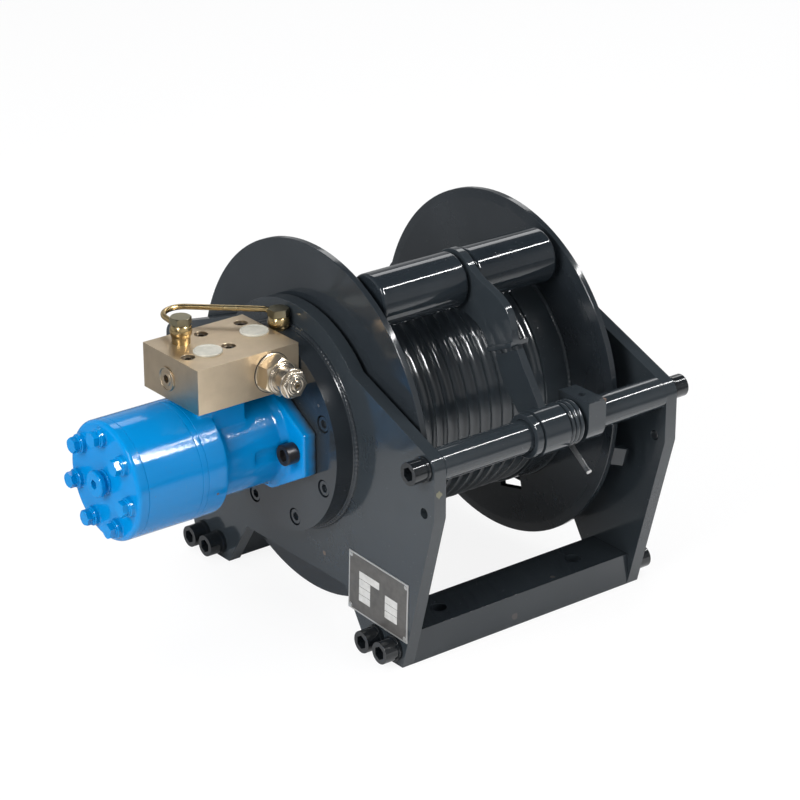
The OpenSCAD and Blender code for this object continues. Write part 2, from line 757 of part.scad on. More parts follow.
module right_flange() {
  color([0.10, 0.12, 0.15]) difference() {
    translate([fr0 + fr1, 0, 0]) mirror([1, 0, 0]) flange_ring(fr0);
    rotate_x(180 - slot_a) translate([fr0 - 1, -slot_len / 2, axis_h + barrel_r + band_rise])
      cube([flange_t + 2, slot_len, slot_w]);
  }
}

// a bent cleat on the outer side of the right flange
module rope_anchor() {
  r = flange_d / 2;
  color([0.10, 0.12, 0.15]) rotate_x(anchor_a) translate([0, 0, axis_h - 11]) linear_extrude(height = 22)
    polygon([[fr1, -r + 18], [fr1, -r + 2], [fr1 + anchor_reach - 4, -r - 6], [fr1 + anchor_reach, -r - 6],
      [fr1 + anchor_reach, -r - 2], [fr1 + 7, -r + 4], [fr1 + 5, -r + 18]]);
}

// a point of the arm at rest: f is the share of the way from the hinge to the rollers and
// v the distance above that line
arm_l = norm([-roller_y - rod_y, roll_z - rod_z]);
ey = (-roller_y - rod_y) / arm_l;
ez = (roll_z - rod_z) / arm_l;
function ap(f, v) = [rod_y + ey * f * arm_l - ez * v, rod_z + ez * f * arm_l + ey * v];

module arm_low_shape() {
  polygon([ap(0.09, 17), ap(0.43, 31), ap(0.5, -3), ap(0.40, -11), ap(0.32, -15), ap(0.25, -14.5),
    ap(0.165, -16)]);
}

module arm_top_shape() {
  polygon([ap(0.455, 29), ap(0.475, 34), ap(0.52, 40.5), ap(0.565, 46), ap(0.61, 49), ap(0.655, 49.8),
    ap(0.71, 47.7), ap(0.77, 44), ap(0.83, 39), ap(0.89, 34), ap(0.98, 31), ap(0.98, -31),
    ap(0.88, -22), ap(0.83, -14), ap(0.78, -8), ap(0.71, -2.5), ap(0.65, -1), ap(0.60, -3),
    ap(0.54, -7.7)]);
  translate([-roller_y, roll_z]) circle(r = roll_r + 2);
}

module arm_foot_shape() {
  polygon([ap(0.455, 29), ap(0.475, 34), ap(0.565, -6.2), ap(0.54, -7.7)]);
}

module arm_base() {
  color([0.10, 0.12, 0.15]) difference() {
    union() {
      xcyl(bs0, bs1, boss_d / 2, rod_y, rod_z);
      xprism(hx0 + 2, hx1 + 2) arm_low_shape();
    }
    xcyl(bs0 - 1, bs1 + 1, rod_r + pin_gap, rod_y, rod_z);
  }
}

module presser_arm() {
  color([0.10, 0.12, 0.15]) difference() {
    union() {
      xprism(hx0, hx1) arm_top_shape();
      xprism(hx0 - 1.5, hx0 + 22) arm_foot_shape();
    }
    xcyl(hx0 - 1, hx1 + 1, shaft_d / 2, -roller_y, roll_z);
  }
}

module roller_shaft() {
  color([0.30, 0.31, 0.33]) xcyl(lx0 + 12, rx1 - 12, shaft_d / 2,
    -roller_y, roll_z);
}

module roller(x0, x1, b0, b1) {
  color([0.10, 0.12, 0.15]) difference() {
    xcyl(x0, x1, roll_r, -roller_y, roll_z);
    xcyl(b0, b1, shaft_d / 2 + pin_gap, -roller_y, roll_z);
  }
}

module left_roller() { roller(lx0, lx1, lx0 + 8, lx1 + 1); }
module right_roller() { roller(rx0, rx1, rx0 - 1, rx1 - 8); }

left_side_plate();
right_side_plate();
front_beam();
rear_beam();
tie_rod();
tie_rod_bolts();
left_foot_bolts();
right_foot_bolts();
nameplate();
thrust_ring();
spring_collar();
collar_screw();
presser_spring();
brake_housing();
cover_screws();
motor_housing();
motor_flange_bolts();
motor_spacer();
motor_gear_ring();
motor_end_cover();
motor_end_bolts();
motor_plug();
valve_block();
valve_screws();
port_caps();
block_plug();
valve_cartridge();
block_fitting();
brake_fitting();
brake_pipe();
bearing_housing();
bearing_screws();
drum_barrel();
left_flange();
right_flange();
rope_anchor();
arm_base();
presser_arm();
roller_shaft();
left_roller();
right_roller();
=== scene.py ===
import math

import bpy
from mathutils import Matrix, Vector


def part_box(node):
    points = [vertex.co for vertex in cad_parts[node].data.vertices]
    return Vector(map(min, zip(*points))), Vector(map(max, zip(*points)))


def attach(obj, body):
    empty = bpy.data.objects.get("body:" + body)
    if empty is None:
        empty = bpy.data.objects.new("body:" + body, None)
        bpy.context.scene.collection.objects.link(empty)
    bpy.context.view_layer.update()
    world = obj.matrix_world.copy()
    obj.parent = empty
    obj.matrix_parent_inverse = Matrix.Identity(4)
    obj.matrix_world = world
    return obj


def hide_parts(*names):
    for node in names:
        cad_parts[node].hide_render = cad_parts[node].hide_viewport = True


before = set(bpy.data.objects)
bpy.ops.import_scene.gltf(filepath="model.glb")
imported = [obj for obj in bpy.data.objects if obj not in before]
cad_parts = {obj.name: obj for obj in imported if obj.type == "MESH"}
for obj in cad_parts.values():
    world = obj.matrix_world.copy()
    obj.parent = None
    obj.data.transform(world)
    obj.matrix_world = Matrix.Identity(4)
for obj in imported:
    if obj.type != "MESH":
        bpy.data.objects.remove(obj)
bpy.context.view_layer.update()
scene = bpy.context.scene
scene.view_settings.view_transform = "Standard"


# The camera stands in front of the winch's motor end, a little above it, with a long lens. Its
# place, heading and dip were worked out from the plates, the drum and the screws in the picture.
EYE = Vector((-1.7557, -2.2194, 1.4144))
HEADING = math.radians(38.02)
DIP = math.radians(23.37)

bpy.ops.object.camera_add(location=EYE, rotation=(math.pi / 2 - DIP, 0, -HEADING))
camera = bpy.context.active_object
camera.data.lens = 129.8
camera.data.clip_end = 60
scene.camera = camera


# The studio is a pale table that runs on into a white backdrop. In the gloss of the winch the
# table is brightest just in front of it and greyer further off, and the room overhead is dark.
bpy.ops.mesh.primitive_plane_add(size=16, location=(0, 0, -0.0004))
floor = bpy.context.active_object
floor.name = "studio_floor"


# A shader sum reads as plain arithmetic: a tone wraps one socket, and its node method adds any
# other kind of node, with its settings first and then the values or links of its sockets.
class Tone:
    def __init__(self, socket):
        self.socket = socket
        self.tree = socket.id_data

    def node(self, kind, settings=None, *values, **named):
        made = self.tree.nodes.new(kind)
        settings = dict(settings or {})
        out = settings.pop("out", 0)
        for key, value in settings.items():
            setattr(made, key, value)
        pairs = list(zip(made.inputs, values))
        for key, value in named.items():
            label = key.replace("_", " ")
            pairs.append((next(s for s in made.inputs if s.enabled and s.name == label), value))
        for socket, value in pairs:
            if isinstance(value, Tone):
                self.tree.links.new(value.socket, socket)
            else:
                socket.default_value = value
        return Tone(made.outputs[out]) if made.outputs else made

    def _math(self, operation, *values):
        return self.node("ShaderNodeMath", {"operation": operation}, *values)

    def __add__(self, other):
        return self._math("ADD", self, other)

    def __sub__(self, other):
        return self._math("SUBTRACT", self, other)

    def __rsub__(self, other):
        return self._math("SUBTRACT", other, self)

    def __mul__(self, other):
        return self._math("MULTIPLY", self, other)

    def __gt__(self, other):
        return self._math("GREATER_THAN", self, other)

    def __lt__(self, other):
        return self._math("LESS_THAN", self, other)

    __radd__ = __add__
    __rmul__ = __mul__

    def between(self, low, high):
        """0 below low, 1 above high, straight in between."""
        return self.node("ShaderNodeMapRange", {}, Value=self, From_Min=low, From_Max=high)

    def noise(self, scale, detail=3.0, roughness=0.55):
        return self.node("ShaderNodeTexNoise", {}, Vector=self, Scale=scale, Detail=detail,
                         Roughness=roughness)

    def stretch(self, x, y, z):
        """The same places with each axis drawn out or pressed together."""
        return self.node("ShaderNodeVectorMath", {"operation": "MULTIPLY"}, self, (x, y, z))

    def away(self, point):
        """Distance from a point."""
        return self.node("ShaderNodeVectorMath", {"operation": "DISTANCE", "out": 1}, self,
                         tuple(point))

    def spot(self, point, reach, ragged=0.5):
        """1 inside a ragged patch round a point, 0 outside."""
        edge = self.away(point) + (self.noise(260, 3) - 0.5) * (reach * ragged * 2)
        return 1 - edge.between(reach * 0.75, reach)

    def mix(self, a, b):
        """Colour a where this tone is 0 and b where it is 1."""
        a, b = (c if isinstance(c, Tone) else (*c, 1) for c in (a, b))
        return self.node("ShaderNodeMix", {"data_type": "RGBA", "out": 2}, Factor=self, A=a, B=b)

    def bump(self, strength, distance):
        return self.node("ShaderNodeBump", {}, Height=self, Strength=strength, Distance=distance)

    def parts(self):
        """The x, y and z of a place."""
        split = self.node("ShaderNodeSeparateXYZ", {}, self).socket.node
        return [Tone(s) for s in split.outputs]


def new_material(name):
    """A material with nothing in it yet, and the tone of a place on the object."""
    made = bpy.data.materials.new(name)
    made.use_nodes = True
    made.node_tree.nodes.clear()
    return made, Tone(made.node_tree.nodes.new("ShaderNodeTexCoord").outputs["Object"])


def set_surface(made, place, **values):
    """Closes a material with its shader and its output."""
    shader = place.node("ShaderNodeBsdfPrincipled", {}, **values)
    place.node("ShaderNodeOutputMaterial", {}, Surface=shader)


floor_white, place = new_material("studio_white")
rays = place.node("ShaderNodeLightPath").socket.node
seen = Tone(rays.outputs["Is Camera Ray"])
mirrored = Tone(rays.outputs["Is Glossy Ray"])
# Seen in gloss, the table's brightness is painted: it fades to grey further off, and its glow is
# dimmed under the winch as a painted shadow of the winch.
far = place.away((0.15, -0.35, 0)).between(0.45, 1.05)
clear_of_painted_shadow = place.away((-0.11, 0.08, 0)).between(0.15, 0.42)
mirror_matt = mirrored.mix((0.86, 0.86, 0.86), far.mix((0.95, 0.95, 0.95), (0.32, 0.32, 0.32)))
mirror_glow = clear_of_painted_shadow.mix((0.1, 0.1, 0.1), far.mix((1.9, 1.9, 1.9), (0.22, 0.22, 0.22)))
matt = place.node("ShaderNodeBsdfDiffuse", {}, Color=seen.mix(mirror_matt, (1, 1, 1)))
glow = place.node("ShaderNodeEmission", {}, Color=mirrored.mix((1, 1, 1), mirror_glow),
                  Strength=1.0)
place.node("ShaderNodeOutputMaterial", {}, Surface=place.node(
    "ShaderNodeMixShader", {}, seen * 0.88 + mirrored * 0.3, matt, glow))
floor.data.materials.append(floor_white)

world = bpy.data.worlds.new("studio_room")
scene.world = world
world.use_nodes = True
world.node_tree.nodes.clear()
heading = Tone(world.node_tree.nodes.new("ShaderNodeTexCoord").outputs["Generated"])
rays = heading.node("ShaderNodeLightPath").socket.node
seen = Tone(rays.outputs["Is Camera Ray"])
mirrored = Tone(rays.outputs["Is Glossy Ray"])
_, deep, up = heading.parts()
backdrop = deep.between(-0.1, 0.35) * (1 - up.between(0.05, 0.75)) * 0.6
window = (1 - deep.between(-0.9, -0.3)) * (1 - up.between(0.45, 0.75)) * 0.6
room = (backdrop + window).mix((0.05, 0.054, 0.062), (1, 1, 1))
lit = mirrored.mix((0.36, 0.37, 0.39), room)
heading.node("ShaderNodeOutputWorld", {}, Surface=heading.node(
    "ShaderNodeBackground", {}, Color=seen.mix(lit, (1, 1, 1)), Strength=1.0))


# A long thin strip lamp overhead draws the white lines along the rollers and the rod, and a soft
# box high behind draws the pale bands along their tops. Two lamps in front and on the left show
# only as sparks on grooves, welds and edges. More soft boxes light the paint but not its gloss.
def lamp(name, at, aim, width, height, watts, along=None, glossy=True, matt=True):
    """A soft box at one place, facing another. along is the way its width runs."""
    back = (Vector(at) - Vector(aim)).normalized()
    turn = back.to_track_quat("Z", "Y").to_euler()
    if along:
        across = back.cross(Vector(along)).normalized()
        turn = Matrix((across.cross(back), across, back)).transposed().to_euler()
    bpy.ops.object.light_add(type="AREA", location=at, rotation=turn)
    made = bpy.context.active_object
    made.name = name
    made.data.shape = "RECTANGLE"
    made.data.size = width
    made.data.size_y = height
    made.data.energy = watts
    made.visible_glossy = glossy
    made.visible_diffuse = matt


lamp("strip_overhead", (1.52, -0.98, 2.2), (0.0, -0.15, 0.3), 1.3, 0.055, 19,
     along=(0.80, 0.60, 0))
lamp("soft_behind", (1.75, 1.69, 2.08), (0.0, -0.08, 0.3), 2.4, 0.75, 15, along=(1, 0, 0))
lamp("spark", (0.80, -1.85, 2.2), (0, -0.1, 0.28), 0.65, 0.65, 90, matt=False)
lamp("edge_light", (-2.4, -0.9, 1.9), (-0.1, -0.05, 0.25), 0.30, 1.1, 30, matt=False)
lamp("soft_left", (-2.6, -0.6, 1.5), (-0.1, 0, 0.2), 1.6, 1.4, 85, glossy=False)
lamp("soft_front", (0.9, -2.6, 1.5), (0, -0.1, 0.2), 1.8, 1.2, 18, glossy=False)
lamp("soft_top", (-0.2, 0.4, 2.6), (0, 0, 0.2), 1.8, 1.8, 20, glossy=False)


# Each side plate is one thick steel plate, flame cut to a round crown, two sloping shoulders and
# two feet, its edges dressed and sprayed with dark slate gloss enamel. Spraying leaves a fine
# orange-peel skin, a few dust nibs and a slight change of tone from coat to coat.
SLATE = (0.0205, 0.0260, 0.0310)
SLATE_THIN = (0.0255, 0.0315, 0.0365)
DUST = (0.075, 0.078, 0.082)
RUST = (0.20, 0.085, 0.045)


def enamel(name, colour, thin, gloss=0.10, marks=(), grooved=False, peel=1.0, fade=None,
           shine=0.5):
    """Sprayed gloss enamel. thin is its tone where the coat is thin, marks are patches of another
    colour as (point, reach, colour): stains and wear, and on the spring's leg also a painted
    highlight. grooved adds the streaks of a lathe tool round the drum axis. peel is the depth of
    the orange peel, fade is the overspray of another colour as (from x, to x, colour), and shine is
    how strongly the coat mirrors."""
    made, place = new_material(name)
    coat = place.noise(9, 3).between(0.35, 0.65)
    base = coat.mix(colour, thin)
    specks = place.noise(620, 1).between(0.775, 0.80)
    base = specks.mix(base, DUST)
    for point, reach, tone in marks:
        base = place.spot(point, reach).mix(base, tone)
    if fade:
        start, end, tone = fade
        along = place.parts()[0] + (place.noise(55, 3) - 0.5) * abs(end - start)
        base = along.between(start, end).mix(base, tone)
    relief = place.noise(190, 1) * (0.55 * peel) + place.noise(520, 2) * 0.16 + specks * 0.5
    if grooved:
        relief = relief + place.stretch(1, 0.04, 0.04).noise(1400, 3) * 1.1
    haze = place.noise(30, 4).between(0.45, 0.75)
    set_surface(made, place, Base_Color=base, Specular_IOR_Level=shine,
                Roughness=gloss + haze * 0.07 + specks * 0.2,
                Normal=relief.bump(0.35, 0.00022))
    return made


def deselect():
    bpy.ops.object.select_all(action="DESELECT")


def activate(*pieces):
    deselect()
    for piece in pieces:
        piece.select_set(True)
    bpy.context.view_layer.objects.active = pieces[0]


def apply_modifier(piece, kind, **settings):
    """Adds one modifier to a piece, sets it and applies it."""
    activate(piece)
    bpy.ops.object.modifier_add(type=kind)
    modifier = piece.modifiers[-1]
    for key, value in settings.items():
        setattr(modifier, key, value)
    bpy.ops.object.modifier_apply(modifier=modifier.name)


def round_edges(piece, width, segments=3, angle=32):
    """Rounds a piece's sharp edges, and keeps its flat faces flat in the light."""
    apply_modifier(piece, "BEVEL", width=width, segments=segments, limit_method="ANGLE",
                   angle_limit=math.radians(angle), use_clamp_overlap=True)
    activate(piece)
    bpy.ops.object.shade_smooth_by_angle(angle=math.radians(40))
    apply_modifier(piece, "WEIGHTED_NORMAL", keep_sharp=True, weight=60)


def dress(piece, material, slot, body, *nodes):
    """Gives a finished piece its material, its body and the CAD nodes that it stands for."""
    piece.data.materials.clear()
    piece.data.materials.append(material)
    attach(piece, body)
    if nodes:
        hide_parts(*nodes)


def finish_node(node, material, slot, body, width, segments=3, angle=32):
    """A copy of a CAD node with rounded edges and a finish, which stands for the node."""
    piece = bpy.data.objects.new(node + "_shown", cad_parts[node].data.copy())
    scene.collection.objects.link(piece)
    activate(piece)
    bpy.ops.object.mode_set(mode="EDIT")
    bpy.ops.mesh.select_all(action="SELECT")
    bpy.ops.mesh.remove_doubles(threshold=0.00002)
    bpy.ops.mesh.dissolve_limited(angle_limit=math.radians(0.6))
    bpy.ops.object.mode_set(mode="OBJECT")
    round_edges(piece, width, segments, angle)
    dress(piece, material, slot, body, node)


outer_x, front_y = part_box("left_side_plate")[0][:2]
plate_paint = enamel("plate_enamel", SLATE, SLATE_THIN, 0.10, marks=(
    ((outer_x, 0.118, 0.128), 0.0045, RUST),
    ((outer_x, -0.052, 0.079), 0.0028, (0.10, 0.075, 0.06)),
    ((outer_x + 0.006, front_y, 0.2114), 0.0042, (0.13, 0.125, 0.075))))
for side in ("left", "right"):
    finish_node(side + "_side_plate", plate_paint, "dark_paint", "frame", 0.0009)


# The two base beams are square-edged steel bars between the plates' feet, drilled for the base
# bolts, in the same enamel. The front one has small stains on its top and its face.
beam_low, beam_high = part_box("front_beam")
beam_top = beam_high[2]
beam_paint = enamel("beam_enamel", SLATE, SLATE_THIN, 0.09, marks=(
    ((0.046, -0.176, beam_top), 0.0030, (0.06, 0.058, 0.056)),
    ((0.028, -0.187, beam_top), 0.0016, (0.085, 0.08, 0.075)),
    ((-0.012, beam_low[1], 0.011), 0.0042, (0.055, 0.05, 0.048))))
for end in ("front", "rear"):
    finish_node(end + "_beam", beam_paint, "dark_paint", "frame", 0.0010)


# The tie rod is a drawn round bar that holds the plates apart across the front. It is painted
# with the frame, and carries the rope presser.
slate = enamel("slate_enamel", SLATE, SLATE_THIN, 0.085)
finish_node("tie_rod", slate, "dark_paint", "frame", 0.0006)


# Socket cap screws with washers hold the beams and the rod. They are black steel under a thin
# coat of the frame's enamel, so they stay darker than the plates.
screw_paint = enamel("screw_enamel", (0.0060, 0.0075, 0.0090), (0.010, 0.012, 0.014), 0.11)
for node in ("tie_rod_bolts", "left_foot_bolts", "right_foot_bolts"):
    finish_node(node, screw_paint, "painted_screws", "frame", 0.0008)


# The brake housing is a turned steel disc welded all round to the left plate, with a ring of
# recessed cover screws. The weld is a hand-laid bead, lumpy from pass to pass.
housing_low, housing_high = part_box("brake_housing")
AXIS = (housing_low[2] + housing_high[2]) / 2
HOUSING_CHAMFER = 0.004
housing_paint = enamel("housing_enamel", (0.0150, 0.0190, 0.0230), (0.021, 0.0255, 0.030), 0.12,
                       marks=(((housing_low[0], 0.0335, 0.1455), 0.0022, (0.07, 0.07, 0.072)),
                              ((housing_low[0], -0.079, 0.262), 0.0018, (0.09, 0.088, 0.085))))
finish_node("brake_housing", housing_paint, "dark_paint", "frame", 0.0009)
finish_node("cover_screws", housing_paint, "painted_screws", "frame", 0.0006)


def weld_ring(name, x, radius, height, ripples, material, body):
    """A lumpy weld bead round the drum axis."""
    axis = (x, 0, AXIS)
    deselect()
    bpy.ops.mesh.primitive_circle_add(vertices=10, radius=height, location=(x, 0, AXIS + radius),
                                      rotation=(math.pi / 2, 0, 0), enter_editmode=True)
    bpy.ops.mesh.select_all(action="SELECT")
    bpy.ops.mesh.spin(steps=ripples * 3, angle=math.tau, center=axis, axis=(1, 0, 0))
    bpy.ops.mesh.select_all(action="SELECT")
    bpy.ops.mesh.remove_doubles(threshold=0.00005)
    bpy.ops.mesh.normals_make_consistent(inside=False)
    bpy.ops.object.mode_set(mode="OBJECT")
    bead = bpy.context.active_object
    bead.name = name
    bpy.ops.object.transform_apply(location=True, rotation=True, scale=True)
    for vertex in bead.data.vertices:
        angle = math.atan2(vertex.co.z - AXIS, vertex.co.y)
        lump = 0.5 + 0.5 * math.cos(ripples * angle + 1.3 * math.sin(5 * angle))
        wander = 0.25 * math.sin(7 * angle) + 0.2 * math.sin(17 * angle + 1)
        ray = Vector((0, math.cos(angle), math.sin(angle)))
        core = Vector(axis) + ray * (radius + wander * 0.0006)
        vertex.co = core + (vertex.co - Vector(axis) - ray * radius) * (0.72 + 0.28 * lump)
    bpy.ops.object.shade_smooth()
    dress(bead, material, "dark_paint", body)


housing_foot_r = (housing_high[1] - housing_low[1]) / 2 - HOUSING_CHAMFER
weld_ring("housing_weld", outer_x - 0.0005, housing_foot_r + 0.0012, 0.0032, 150, housing_paint,
          "frame")


# The hydraulic motor is a grey-iron casting sprayed bright blue over its bolts and plug. Its
# corners run together as cast ones do, the front edge is turned square, and some of the frame's
# dark paint fades over the edge of the flange's ears.
BLUE = (0.0, 0.172, 0.445)
BLUE_THIN = (0.0, 0.190, 0.480)
ring_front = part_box("motor_housing")[0][0]
SADDLE_AT = (ring_front + 0.020, -0.014, AXIS + 0.034)
SADDLE_SIZE = (0.020, 0.036, 0.052)
RIM_L, RIM_BREAK = 0.006, 0.0004
motor_blue = enamel("motor_blue", BLUE, BLUE_THIN, 0.10, peel=1.3, shine=0.32)
cast_blue = enamel("cast_blue", BLUE, BLUE_THIN, 0.12, peel=2.6, shine=0.32,
                   marks=(((-0.297, -0.0595, 0.189), 0.0016, (0.10, 0.075, 0.06)),),
                   fade=(housing_low[0] - 0.012, housing_low[0] - 0.001, (0.045, 0.062, 0.075)))
casting = bpy.data.objects.new("motor_casting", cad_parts["motor_housing"].data.copy())
scene.collection.objects.link(casting)
deselect()
bpy.ops.mesh.primitive_cube_add(size=1, location=SADDLE_AT, scale=SADDLE_SIZE)
saddle = bpy.context.active_object
activate(casting, saddle)
bpy.ops.object.join()
apply_modifier(casting, "REMESH", mode="VOXEL", voxel_size=0.0011)
apply_modifier(casting, "SMOOTH", factor=0.6, iterations=16)
activate(casting)
bpy.ops.object.mode_set(mode="EDIT")
bpy.ops.mesh.select_all(action="SELECT")
bpy.ops.mesh.bisect(plane_co=(ring_front + RIM_L, 0, 0), plane_no=(1, 0, 0), use_fill=True,
                    clear_inner=True)
for step in (RIM_L - RIM_BREAK, RIM_BREAK):
    bpy.ops.mesh.extrude_region_move(TRANSFORM_OT_translate={"value": (-step, 0, 0)})
bpy.ops.transform.resize(value=(1, 0.992, 0.992), center_override=(ring_front, 0, AXIS))
bpy.ops.mesh.select_all(action="SELECT")
bpy.ops.mesh.normals_make_consistent(inside=False)
bpy.ops.object.mode_set(mode="OBJECT")
bpy.ops.object.shade_smooth_by_angle(angle=math.radians(35))
dress(casting, cast_blue, "motor_paint", "frame", "motor_housing")
for node in ("motor_spacer", "motor_gear_ring", "motor_end_cover"):
    finish_node(node, motor_blue, "motor_paint", "frame", 0.0007, segments=2)


# Seven hexagon bolts clamp the end cover on round bosses, and a plug with a hexagon socket closes
# its middle. They were sprayed with the motor, so paint fills their corners.
def turned(name, base, along, stations, sides=64, corner=None):
    """A turned piece, or a prism of few sides with one corner towards a direction. It grows from
    base along an axis, and stations are its (distance, radius) one after another."""
    deselect()
    bpy.ops.mesh.primitive_circle_add(vertices=sides, radius=stations[0][1], fill_type="NGON",
                                      location=(0, 0, 0), enter_editmode=True)
    bpy.ops.mesh.select_mode(type="FACE")
    bpy.ops.mesh.select_all(action="SELECT")
    for (start, before), (end, after) in zip(stations, stations[1:]):
        bpy.ops.mesh.extrude_region_move(TRANSFORM_OT_translate={"value": (0, 0, end - start)})
        bpy.ops.transform.resize(value=(after / before, after / before, 1),
                                 center_override=(0, 0, end - stations[0][0]))
    bpy.ops.mesh.select_all(action="SELECT")
    bpy.ops.mesh.normals_make_consistent(inside=False)
    bpy.ops.object.mode_set(mode="OBJECT")
    piece = bpy.context.active_object
    piece.name = name
    axis = Vector(along).normalized()
    side = Vector(corner).normalized() if corner else axis.orthogonal().normalized()
    piece.rotation_euler = Matrix((side.cross(axis), side, axis)).transposed().to_euler()
    piece.location = Vector(base) + axis * stations[0][0]
    bpy.ops.object.transform_apply(location=True, rotation=True, scale=True)
    return piece


def carve(piece, tool, operation="DIFFERENCE"):
    """Cuts a piece with a tool, which is used up."""
    apply_modifier(piece, "BOOLEAN", object=tool, operation=operation)
    bpy.data.objects.remove(tool)


def hexagon(name, base, along, start, end, radius, corner):
    """A hexagon with the lathe's chamfer round its outer face."""
    piece = turned(name, base, along, ((start, radius), (end, radius)), 6, corner)
    wide, narrow, chamfer = radius * 1.05, radius * 0.86, radius * 0.14
    carve(piece, turned("lathe_form", base, along, (
        (start - 0.001, wide), (end - chamfer, wide), (end + 0.0002, narrow))), "INTERSECT")
    return piece


def join(name, *pieces):
    activate(*pieces)
    bpy.ops.object.join()
    pieces[0].name = name
    return pieces[0]


def around(angle):
    """The direction at an angle about the drum axis, from the rear upwards."""
    return Vector((0, math.cos(math.radians(angle)), math.sin(math.radians(angle))))


def copies(pattern, name, places):
    """Copies of a piece that was modelled at the origin, each with its own mesh in its place."""
    made = []
    for matrix in places:
        piece = pattern.copy()
        piece.data = pattern.data.copy()
        piece.data.transform(matrix)
        piece.name = name
        scene.collection.objects.link(piece)
        made.append(piece)
    bpy.data.objects.remove(pattern)
    return made


OUTWARD = (-1, 0, 0)
BOLTS, BOLT_CIRCLE, FIRST_BOLT, HEAD_CORNER, HEAD_TURN = 7, 0.048, 37, 15, 19
cover_middle = Vector((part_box("motor_end_cover")[0][0], 0, AXIS))
bolt_reach = cover_middle.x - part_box("motor_end_bolts")[0][0]
boss = turned("end_boss", (0, 0, 0), OUTWARD, (
    (-0.001, 0.0112), (0.0002, 0.0108), (0.0012, 0.0101), (0.0050, 0.0100), (0.0060, 0.0092)), 40)
washer = turned("end_washer", (0, 0, 0), OUTWARD, (
    (0.0055, 0.0088), (0.0070, 0.0088), (0.0074, 0.0084)), 40)
head = hexagon("end_head", (0, 0, 0), OUTWARD, 0.0070, bolt_reach, 0.0085, around(HEAD_CORNER))
bolt = join("bolt_pattern", boss, washer, head)
round_edges(bolt, 0.00045, segments=2)
bolt_places = [
    Matrix.Translation(cover_middle + around(FIRST_BOLT + i * 360 / BOLTS) * BOLT_CIRCLE)
    @ Matrix.Rotation(math.radians(i * HEAD_TURN), 4, "X") for i in range(BOLTS)]
for i, piece in enumerate(copies(bolt, "end_bolt", bolt_places)):
    dress(piece, motor_blue, "motor_paint", "frame", *(["motor_end_bolts"] if i == 0 else []))
plug_reach = cover_middle.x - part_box("motor_plug")[0][0]
plug = turned("end_plug", cover_middle, OUTWARD, (
    (-0.001, 0.0128), (0.0018, 0.0128), (0.0022, 0.0121), (0.0046, 0.0121), (0.0048, 0.0126),
    (0.0062, 0.0126), (0.0064, 0.0134), (0.0070, 0.0140), (plug_reach - 0.0014, 0.0140),
    (plug_reach, 0.0128)))
carve(plug, turned("socket", cover_middle, OUTWARD, (
    (plug_reach - 0.0065, 0.0052), (plug_reach + 0.001, 0.0052)), 6, around(75)))
round_edges(plug, 0.0004, segments=2)
dress(plug, motor_blue, "motor_paint", "frame", "motor_plug")


# Black oxide cap screws hold the motor by its ears, the valve block and the spring collar. Their
# heads have a worn satin sheen.
def plain_metal(name, colour, dark, roughness, metallic=1.0, grain=(1, 1, 1), depth=0.10):
    """Bare or plated metal. grain draws out its fine tool marks along an axis."""
    made, place = new_material(name)
    tone = place.noise(45, 3).between(0.3, 0.7)
    marks = place.stretch(*grain).noise(1100, 3)
    set_surface(made, place, Base_Color=tone.mix(colour, dark), Metallic=metallic,
                Roughness=roughness + tone * 0.06 + marks * 0.08,
                Normal=marks.bump(depth, 0.0002))
    return made


black_oxide = plain_metal("black_oxide", (0.035, 0.033, 0.034), (0.020, 0.019, 0.020), 0.26, 0.5)
for node in ("motor_flange_bolts", "collar_screw"):
    finish_node(node, black_oxide, "black_screws", "frame", 0.0007)
oiled_black = plain_metal("oiled_black", (0.11, 0.095, 0.075), (0.05, 0.045, 0.04), 0.28, 0.9)
finish_node("valve_screws", oiled_black, "black_screws", "frame", 0.0005)


# The valve block is milled square from steel bar and nickel plated, warm and satin, with fine
# feed marks along its faces. A screwed plug with a hexagon socket closes its cross drilling.
nickel = plain_metal("satin_nickel", (0.66, 0.54, 0.39), (0.58, 0.475, 0.34), 0.32,
                     grain=(0.06, 1, 1), depth=0.14)
finish_node("valve_block", nickel, "nickel_block", "frame", 0.0008, segments=1)
plug_low, plug_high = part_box("block_plug")
block_low, block_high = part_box("valve_block")
plug_spot = (block_low[0], (plug_low[1] + plug_high[1]) / 2, (plug_low[2] + plug_high[2]) / 2)
block_plug = turned("block_end_plug", plug_spot, OUTWARD, (
    (-0.0100, 0.0098), (-0.0005, 0.0098), (-0.0005, 0.0128), (0.0012, 0.0128), (0.0016, 0.0124),
    (0.0016, 0.0114), (0.0006, 0.0110), (0.0006, 0.0072), (0.0013, 0.0068), (0.0013, 0.0058)))
carve(block_plug, turned("socket", plug_spot, OUTWARD, ((-0.0088, 0.0046), (0.003, 0.0046)), 6,
                         around(75)))
round_edges(block_plug, 0.00018, segments=2)
dress(block_plug, nickel, "nickel_block", "frame", "block_plug")


# The relief valve screws into the block's front: a hexagon body, a collar, and a lock nut on the
# adjusting screw, all turned and bright nickel plated. A thin black ring at the body's foot is a
# painted shadow of the gap beneath it.
satin_bright = plain_metal("bright_nickel_satin", (0.72, 0.62, 0.47), (0.62, 0.53, 0.40), 0.24)
bright = plain_metal("bright_nickel", (0.62, 0.555, 0.46), (0.48, 0.43, 0.36), 0.17)
relief_low, relief_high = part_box("valve_cartridge")
relief_spot = ((relief_low[0] + relief_high[0]) / 2, block_low[1],
               (relief_low[2] + relief_high[2]) / 2)
FORWARD = (0, -1, 0)


def clock(angle):
    """The direction at an angle about the relief valve, from the drum end upwards."""
    return (math.cos(math.radians(angle)), 0, math.sin(math.radians(angle)))
